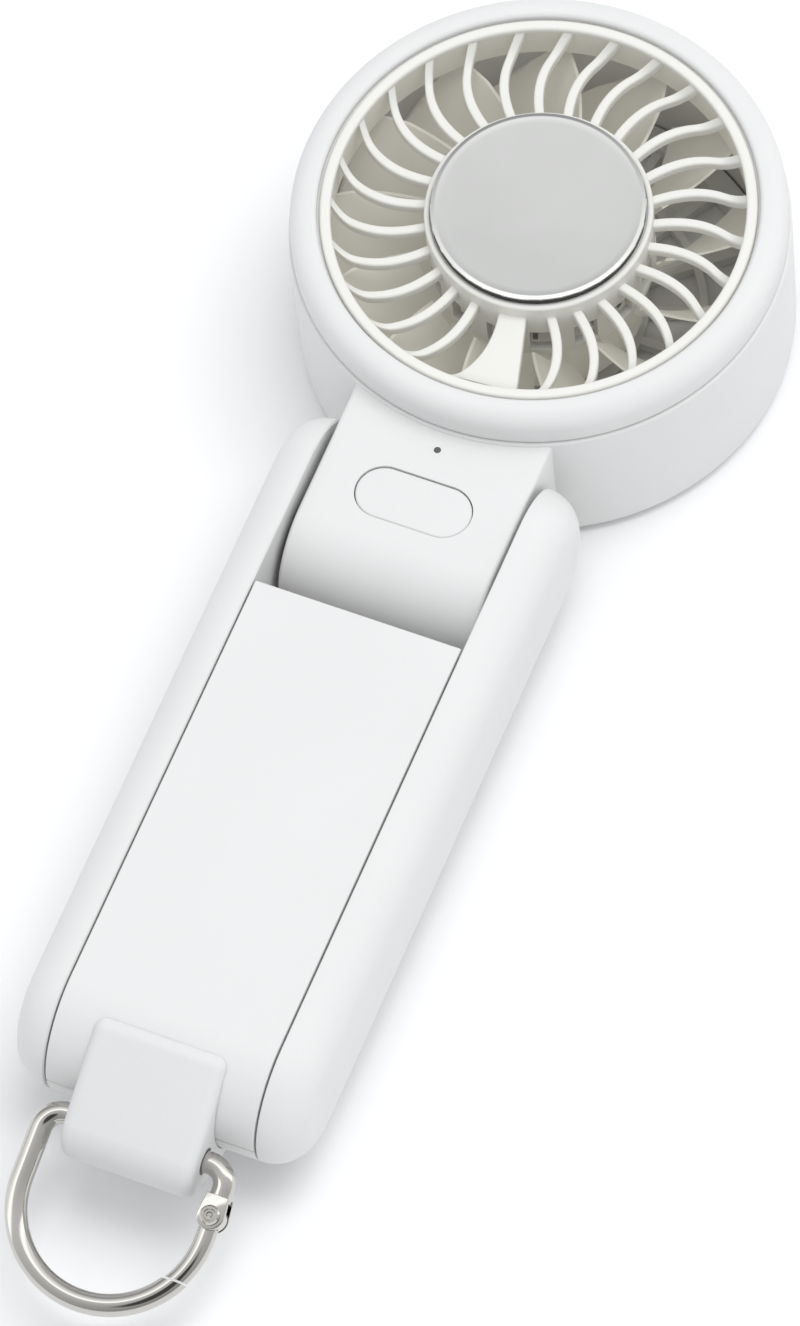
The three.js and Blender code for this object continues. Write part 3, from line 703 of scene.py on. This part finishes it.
def cheek(side):
    """A cheek: flat inside, with a soft round that turns into its narrow outer face."""
    inner = PANEL_HALF + GAP
    rings = []
    for depth, shrink in [(inner, 0.25), (inner + 0.25, 0.0)]:
        rings.append([across(p.x, p.y, side * depth) for p in handle_side(shrink)])
    for depth, shrink in reversed(rounded_rim(EDGE_R, 16)):
        rings.append([across(p.x, p.y, side * (HANDLE_HALF - depth)) for p in handle_side(shrink)])
    return loft(rings)


def panel_outline():
    """The front panel's side view: a 1.6 mm skin down the front and round the end."""
    skin = 1.6
    low_y = HANDLE_BOTTOM + END_R
    corner = 0.5
    outer = [Vector((PANEL_TOP - corner, HANDLE_FRONT))]
    outer += arc(low_y, HANDLE_MID, END_R, 90, 179.3, 40)
    inner = arc(low_y, HANDLE_MID, END_R - skin, 179.3, 90, 40)
    edge = arc(PANEL_TOP - corner, HANDLE_FRONT - corner, corner, 0, 80, 4)
    return outer + inner + [Vector((PANEL_TOP, HANDLE_FRONT - skin))] + edge


def core_outline():
    """The handle core's side view: the back, the end's lower half and the wall under the panel."""
    low_y = HANDLE_BOTTOM + END_R
    tail_y = -50.0  # the core's thin tail runs on below the neck, and ends there
    tail_top = 6.6
    outline = [Vector((tail_y, HANDLE_BACK + 0.3)), Vector((tail_y, tail_top))]
    step = 1.9  # room for the panel's skin
    outline += [Vector((PANEL_TOP - 0.2, z)) for z in (tail_top, HANDLE_FRONT - step)]
    outline += arc(low_y, HANDLE_MID, END_R - step, 90, 179, 24)
    outline += arc(low_y, HANDLE_MID, END_R, 181, 270, 40)
    return outline + [Vector((tail_y - 0.3, HANDLE_BACK))]


def flat_band(outline):
    return loft([[across(p.x, p.y, x) for p in outline] for x in (-PANEL_HALF, PANEL_HALF)])


def build_handle():
    for name, node, side in (("cheek_left", "left_cheek", -1), ("cheek_right", "right_cheek", 1)):
        white_piece(name, [cheek(side)], "handle", [node])
    white_piece("panel", [flat_band(panel_outline())], "handle", ["front_panel"], bevel=0.22)
    holes = [slab(oval(9.7, 4.0, -75.3), 3.0, 13.0)]
    holes += [peg(2.3, 3.0, 6.1, x, y) for x, y in BACK_SCREWS]
    white_piece("core", [flat_band(core_outline())], "handle", ["handle_core"], cutters=holes, bevel=0.2)
    add_piece("loop", [loop_block()], "handle", "soft_loop", ["strap_loop"], cutters=loop_cutters())


def loop_side():
    back = HANDLE_BOTTOM + END_R - 5.6
    outline = arc(BAR_Y, HANDLE_MID, LOOP_NOSE, 125, 235, 24)
    outline += arc(back, HANDLE_MID - 9.9, 2.0, 235, 345, 10)
    outline += arc(back, HANDLE_MID + 9.9, 2.0, 15, 125, 10)
    return outline


def loop_block():
    return slab(loop_side(), -LOOP_HALF, LOOP_HALF, 1.8, 1.8, across, 10)


def loop_cutters():
    """The handle's own shape with room round it, and the hole for the carabiner's bar."""
    bar_hole = [(BAR_Y + y, HANDLE_MID + z) for y, z in fillet(0, 0, 2.1, 0, 351, 39)]
    room = [(p.x, p.y) for p in handle_side(-GAP * 0.5)]
    return [loft([[across(y, z, x) for y, z in outline] for x in (-20, 20)])
            for outline in (room, bar_hole)]


# ---- Carabiner, drawn with its bar along X at the origin and its bend towards -Y ----
CARABINER = Matrix.Translation((0, BAR_Y, HANDLE_MID)) @ Matrix.Rotation(math.radians(RING_DROP), 4, "X")


def wire_path():
    """The centre line from the rivet, over the bar, down the far side and round to the notch."""
    corner = RING_CORNER
    points = [Vector((RING_R, -RIVET_DROP + 2.6)), Vector((RING_R, -corner - 0.6))]
    points += arc(RING_R - corner, -corner, corner, 0, 90, 10)
    points += arc(-RING_R + corner, -corner, corner, 90, 180, 10)
    points += arc(0, -RING_STRAIGHT, RING_R, 180, 336, 64)
    return points


def gate_path():
    points = [Vector((RING_R, -RIVET_DROP - 1.6)), Vector((RING_R, -RING_STRAIGHT + 0.6))]
    points += arc(0, -RING_STRAIGHT, RING_R, 0, -36, 18)
    return points


def tube(path, radius):
    """A round wire along a path that lies in the ring's plane."""
    rings = []
    last = len(path) - 1
    section = circle(radius, 0, 28)
    for i, p in enumerate(path):
        along = (path[min(i + 1, last)] - path[max(i - 1, 0)]).normalized()
        rings.append([Vector((p.x - along.y * c.x, p.y + along.x * c.x, c.y)) for c in section])
    return loft(rings)


def rivet_plates():
    """The ring's two flat ears, which the gate's rivet passes through."""
    inner, outer = 1.3, 2.1
    outline = arc(RING_R, -RIVET_DROP, 2.1, 180, 360, 16)
    outline += [Vector((RING_R + x, -RIVET_DROP + 3.2)) for x in (1.7, -1.7)]
    over = slab(outline, inner, outer, high_round=0.2, steps=3)
    under = slab(outline, -outer, -inner, low_round=0.2, steps=3)
    return [over, under]


def rivet_pin():
    """The rivet, with a ringed head at each end."""
    top = [(0.7, 2.15), (1.5, 2.15), (1.5, 2.6), (1.25, 2.9)]
    top += [(0.95, 2.9), (0.8, 2.65), (0.5, 2.65), (0.3, 2.85)]
    whole = [(r, -z) for r, z in reversed(top)] + top
    return turned(whole, closed=False, count=40, x=RING_R, y=-RIVET_DROP)


def gate_parts():
    knuckle = [(1.0, -1.0), (2.0, -1.0), (2.0, 1.0), (1.0, 1.0)]
    low = (RING_R - 1.2, -RIVET_DROP - 2.6, -1.0)
    high = (RING_R + 1.2, -RIVET_DROP - 1.2, 1.0)
    barrel = turned(knuckle, count=40, x=RING_R, y=-RIVET_DROP)
    return [tube(gate_path(), GATE_WIRE_R), barrel, box_mesh(low, high)]


def build_carabiner():
    above = box_mesh((10, -NOTCH_DROP, -3), (16, -RIVET_DROP - 2.2, 3))
    below = box_mesh((6, -26, -3), (16, -NOTCH_DROP + 0.35, 3))
    ring = [tube(wire_path(), WIRE_R), *rivet_plates()]
    add_piece("ring", ring, "carabiner", "nickel", ["ring_body"], cutters=[above], local=CARABINER)
    add_piece("gate", gate_parts(), "gate", "nickel", ["ring_gate"], cutters=[below], local=CARABINER)
    add_piece("rivet", [rivet_pin()], "carabiner", "nickel", ["gate_rivet"], local=CARABINER)


# ---- Studio ----
def add_area(name, place, size, power):
    """A square soft light aimed at the origin, which doesn't show in reflections."""
    data = bpy.data.lights.new(name, "AREA")
    data.size = size
    data.energy = power
    light = bpy.data.objects.new(name, data)
    light.location = place
    light.visible_glossy = False
    light.rotation_euler = (-Vector(place)).to_track_quat("-Z", "Y").to_euler()
    bpy.context.scene.collection.objects.link(light)


AWAY_FROM_CAMERA = (-0.48, 0.88, 0)  # the level direction from the camera to the fan
DARK_SIDE = (0.31, -0.56, 0.77)  # middle of the unlit part of the studio, behind the camera
DARK_LEVEL = 0.1
DOME_COLOR = (0.96, 0.975, 1.0)
DOME_STRENGTH = 0.76


def grey(level):
    return (level, level, level, 1)


def build_world():
    """An even dome for the matt surfaces. The polished ones see a banded one with an unlit part."""
    world = bpy.data.worlds.new("studio")
    world.use_nodes = True
    tree = world.node_tree
    shader = tree.nodes["Background"]
    direction = tree.nodes.new("ShaderNodeTexCoord").outputs["Generated"]

    def towards(axis, low, high):
        """How far the view direction lies along an axis, from 0 at low to 1 at high."""
        along = tree.nodes.new("ShaderNodeVectorMath")
        along.operation = "DOT_PRODUCT"
        along.inputs[1].default_value = axis
        tree.links.new(direction, along.inputs[0])
        share = tree.nodes.new("ShaderNodeMapRange")
        share.inputs["From Min"].default_value = low
        share.inputs["From Max"].default_value = high
        tree.links.new(along.outputs["Value"], share.inputs["Value"])
        return share.outputs["Result"]

    def blend(factor, a, b):
        mix = tree.nodes.new("ShaderNodeMix")
        mix.data_type = "RGBA"
        tree.links.new(factor, mix.inputs["Factor"])
        for socket, value in ((mix.inputs[6], a), (mix.inputs[7], b)):
            if isinstance(value, tuple):
                socket.default_value = value
            else:
                tree.links.new(value, socket)
        return mix.outputs[2]

    bands = tree.nodes.new("ShaderNodeValToRGB")
    stops = [(0.0, 0.5), (0.3, 0.8), (0.5, 1.05), (0.53, 2.3), (0.6, 2.3)]
    stops += [(0.64, 1.6), (0.7, 1.5), (0.78, 1.05), (0.9, 0.5), (1.0, 0.9)]
    elements = bands.color_ramp.elements
    while len(elements) < len(stops):
        elements.new(0.5)
    for element, (position, value) in zip(elements, stops):
        element.position = position
        element.color = grey(value)
    tree.links.new(towards(AWAY_FROM_CAMERA, -1, 1), bands.inputs["Fac"])
    polished = blend(towards(DARK_SIDE, 0.925, 0.965), bands.outputs["Color"], grey(DARK_LEVEL))
    rays = tree.nodes.new("ShaderNodeLightPath").outputs["Is Glossy Ray"]
    tree.links.new(blend(rays, (*DOME_COLOR, 1), polished), shader.inputs["Color"])
    shader.inputs["Strength"].default_value = DOME_STRENGTH
    bpy.context.scene.world = world


def build_studio():
    mesh = mesh_of("floor", [box_mesh((-3, -3, -0.01), (3, 3, -0.0002))])
    floor = bpy.data.objects.new("floor", mesh)
    bpy.context.scene.collection.objects.link(floor)
    m = Nodes("pale_floor", (0.93, 0.93, 0.93), 0.7)
    m.tint(m.spread(m.noise(3.0), 0, 1), (0.92, 0.92, 0.92), (0.94, 0.94, 0.94))
    mesh.materials.append(m.material)
    build_world()
    add_area("key", (0.5, 0.4, 1.5), 0.9, 8.5)
    add_area("top", (0.05, 0, 1.6), 0.5, 4.0)
    bpy.context.scene.view_settings.view_transform = "Standard"


def build_camera():
    azimuth, elevation, roll = (math.radians(v) for v in (28.7, 61.8, -7.23))
    distance = 1.5
    target = Vector((0.00145, 0.0089, 0))
    level = math.cos(elevation)
    away = Vector((math.sin(azimuth) * level, -math.cos(azimuth) * level, math.sin(elevation)))
    data = bpy.data.cameras.new("camera")
    data.lens = 270.7
    data.sensor_width = 36
    data.clip_end = 20
    camera = bpy.data.objects.new("camera", data)
    turn = (-away).to_track_quat("-Z", "Y").to_matrix().to_4x4() @ Matrix.Rotation(roll, 4, "Z")
    camera.matrix_world = Matrix.Translation(target + away * distance) @ turn
    bpy.context.scene.collection.objects.link(camera)
    bpy.context.scene.camera = camera


build_camera()
finish_cad_nodes()
build_head()
build_impeller()
build_handle()
build_carabiner()
build_studio()
